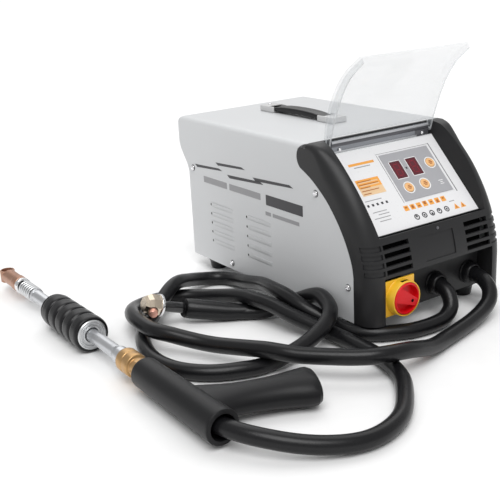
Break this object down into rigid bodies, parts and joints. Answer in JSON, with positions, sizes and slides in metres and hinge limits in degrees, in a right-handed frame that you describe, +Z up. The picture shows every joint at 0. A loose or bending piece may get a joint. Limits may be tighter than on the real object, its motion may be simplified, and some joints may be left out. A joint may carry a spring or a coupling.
{
  "type": "spot welder",
  "caption": "Portable spot welder for car bodywork: grey steel cabinet with black front, flip cover, isolator switch, two cables, earth clamp and slide-hammer gun.",
  "frame": {"origin": "on the floor, under the middle of the outline of the cabinet and the gun together, cables left out", "axes": "+Z up; +Y from the cabinet's front to its back, which is also the gun's long axis; +X to the right as seen from the front"},
  "size_m": [0.515, 0.6731, 0.3305],
  "materials": {
    "grey_paint": "satin grey powder coat",
    "black_plastic": "fine-grained black moulding",
    "black_rubber": "black rubber",
    "white_plate": "white printed plate",
    "grey_field": "grey membrane",
    "red_window": "dark red window",
    "orange_button": "orange button",
    "bar_grey": "dark grey hinge bar",
    "clear_plastic": "clear polished plastic",
    "yellow_plastic": "yellow moulding",
    "red_plastic": "red moulding",
    "zinc_steel": "bright zinc-plated steel",
    "chrome": "polished chrome",
    "brass": "bright brass",
    "copper": "copper",
    "core_steel": "dark laminated steel",
    "insulation": "taped winding",
    "board_green": "circuit board",
    "handle_grey": "light grey die casting"
  },
  "bodies": {
    "machine": {"base_tray": "grey_paint", "bumper_spring": "zinc_steel", "busbar_earth": "copper", "busbar_gun": "copper", "control_board": "board_green", "control_plate": "white_plate", "display_field": "grey_field", "display_left": "red_window", "display_right": "red_window", "earth_boot": "black_rubber", "earth_cable": "black_rubber", "earth_clamp": "brass", "earth_contact": "copper", "earth_neck": "black_rubber", "electrode_holder": "chrome", "electrode_tip": "copper", "fan_frame": "black_plastic", "fan_guard": "zinc_steel", "foot_1": "black_rubber", "foot_2": "black_rubber", "foot_3": "black_rubber", "foot_4": "black_rubber", "front_bezel": "black_plastic", "gland_earth": "black_rubber", "gland_gun": "black_rubber", "gun_body": "black_plastic", "gun_cable": "black_rubber", "gun_nut": "brass", "hammer_rod": "zinc_steel", "handle_bracket_front": "handle_grey", "handle_bracket_rear": "handle_grey", "handle_strap": "black_rubber", "hinge_bar": "bar_grey", "hinge_rod": "zinc_steel", "mains_gland": "black_rubber", "output_panel": "black_plastic", "primary_coil": "insulation", "rear_panel": "grey_paint", "screw_1": "chrome", "screw_2": "chrome", "screw_3": "chrome", "screw_4": "chrome", "screw_5": "chrome", "screw_6": "chrome", "screw_7": "chrome", "screw_8": "chrome", "secondary_coil": "copper", "shell_cover": "grey_paint", "switch_body": "black_plastic", "switch_plate": "yellow_plastic", "thyristor_module": "zinc_steel", "transformer_core": "core_steel"},
    "cover": {"clear_cover": "clear_plastic"},
    "knob": {"switch_knob": "red_plastic"},
    "button_left": {"button_2": "orange_button"},
    "button_mid": {"button_3": "orange_button"},
    "button_right": {"button_1": "orange_button"},
    "fan": {"fan_rotor": "black_plastic"},
    "weight": {"weight_core": "zinc_steel", "weight_sleeve": "black_rubber"}
  },
  "joints": [
    {"name": "cover_hinge", "type": "hinge", "parent": "machine", "child": "cover", "pos_m": [0.1399, -0.0957, 0.217], "axis": [1, 0, 0], "range_deg": [0, 102]},
    {"name": "switch_turn", "type": "hinge", "parent": "machine", "child": "knob", "pos_m": [0.0714, -0.2104, 0.052], "axis": [0, 1, 0], "range_deg": [0, 90]},
    {"name": "button_left_press", "type": "slide", "parent": "machine", "child": "button_left", "axis": [0, 0.7113, -0.7029], "range_m": [0, 0.0008], "stiffness_N_per_m": 900},
    {"name": "button_mid_press", "type": "slide", "parent": "machine", "child": "button_mid", "axis": [0, 0.7113, -0.7029], "range_m": [0, 0.0008], "stiffness_N_per_m": 900},
    {"name": "button_right_press", "type": "slide", "parent": "machine", "child": "button_right", "axis": [0, 0.7113, -0.7029], "range_m": [0, 0.0008], "stiffness_N_per_m": 900},
    {"name": "fan_spin", "type": "hinge", "parent": "machine", "child": "fan", "pos_m": [0.1399, 0.1756, 0.095], "axis": [0, 1, 0], "continuous": true},
    {"name": "weight_slide", "type": "slide", "parent": "machine", "child": "weight", "axis": [0, 1, 0], "range_m": [-0.062, 0.054]}
  ]
}
